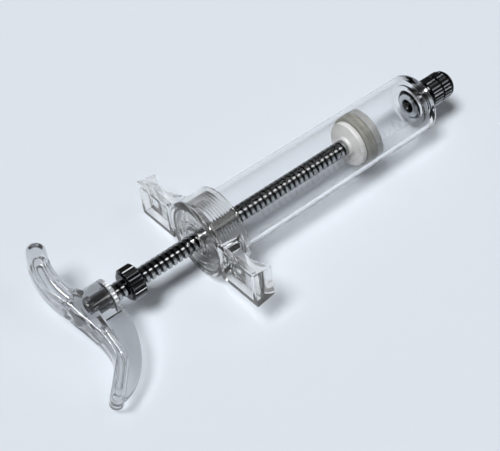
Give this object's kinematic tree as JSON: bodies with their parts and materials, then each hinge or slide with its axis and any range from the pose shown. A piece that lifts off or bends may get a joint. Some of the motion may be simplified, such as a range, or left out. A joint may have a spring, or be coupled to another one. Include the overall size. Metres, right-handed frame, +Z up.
{
  "type": "adjustable dose syringe",
  "caption": "Clear reusable syringe with a moulded finger flange, a curved palm handle on a chromed threaded rod, a knurled dose nut and a knurled metal needle lock.",
  "frame": {"origin": "centre of the bounding box, on the surface that the syringe lies on", "axes": "+X along the barrel towards the outlet, +Z up"},
  "size_m": [0.1918, 0.0716, 0.0315],
  "materials": {
    "clear_plastic": "clear gloss",
    "scale_relief": "moulded relief",
    "chromed_metal": "polished",
    "white_plastic": "satin",
    "milky_plastic": "translucent satin",
    "seal_rubber": "satin",
    "pale_gasket": "satin",
    "dark_gasket": "matte"
  },
  "bodies": {
    "barrel": {"barrel": "clear_plastic", "scale_marks": "scale_relief", "nozzle": "chromed_metal", "neck_nut": "chromed_metal", "lock_collar": "chromed_metal", "nozzle_gasket": "dark_gasket", "finger_flange": "clear_plastic", "flange_gasket": "pale_gasket", "rod_bush": "milky_plastic"},
    "piston": {"piston_rear_plate": "white_plastic", "piston_seal": "seal_rubber", "piston_front_plate": "milky_plastic", "journal_o_ring": "dark_gasket"},
    "rod": {"rod": "chromed_metal", "rod_washer": "white_plastic", "end_screw": "chromed_metal", "handle": "clear_plastic", "handle_insert": "chromed_metal", "handle_ring": "chromed_metal"},
    "dose_nut": {"dose_nut": "chromed_metal"}
  },
  "joints": [
    {"name": "plunger", "type": "slide", "parent": "barrel", "child": "piston", "axis": [1, 0, 0], "range_m": [-0.066, 0.022]},
    {"name": "rod_turn", "type": "hinge", "parent": "piston", "child": "rod", "pos_m": [0, 0, 0.01575], "axis": [1, 0, 0], "range_deg": [-360, 360]},
    {"name": "dose_feed", "type": "slide", "parent": "piston", "child": "dose_nut", "axis": [1, 0, 0], "range_m": [-0.0025, 0.0025]}
  ],
  "couplings": [
    {"joint": "dose_feed", "follows": "rod_turn", "m_per_rad": -0.00038197}
  ]
}
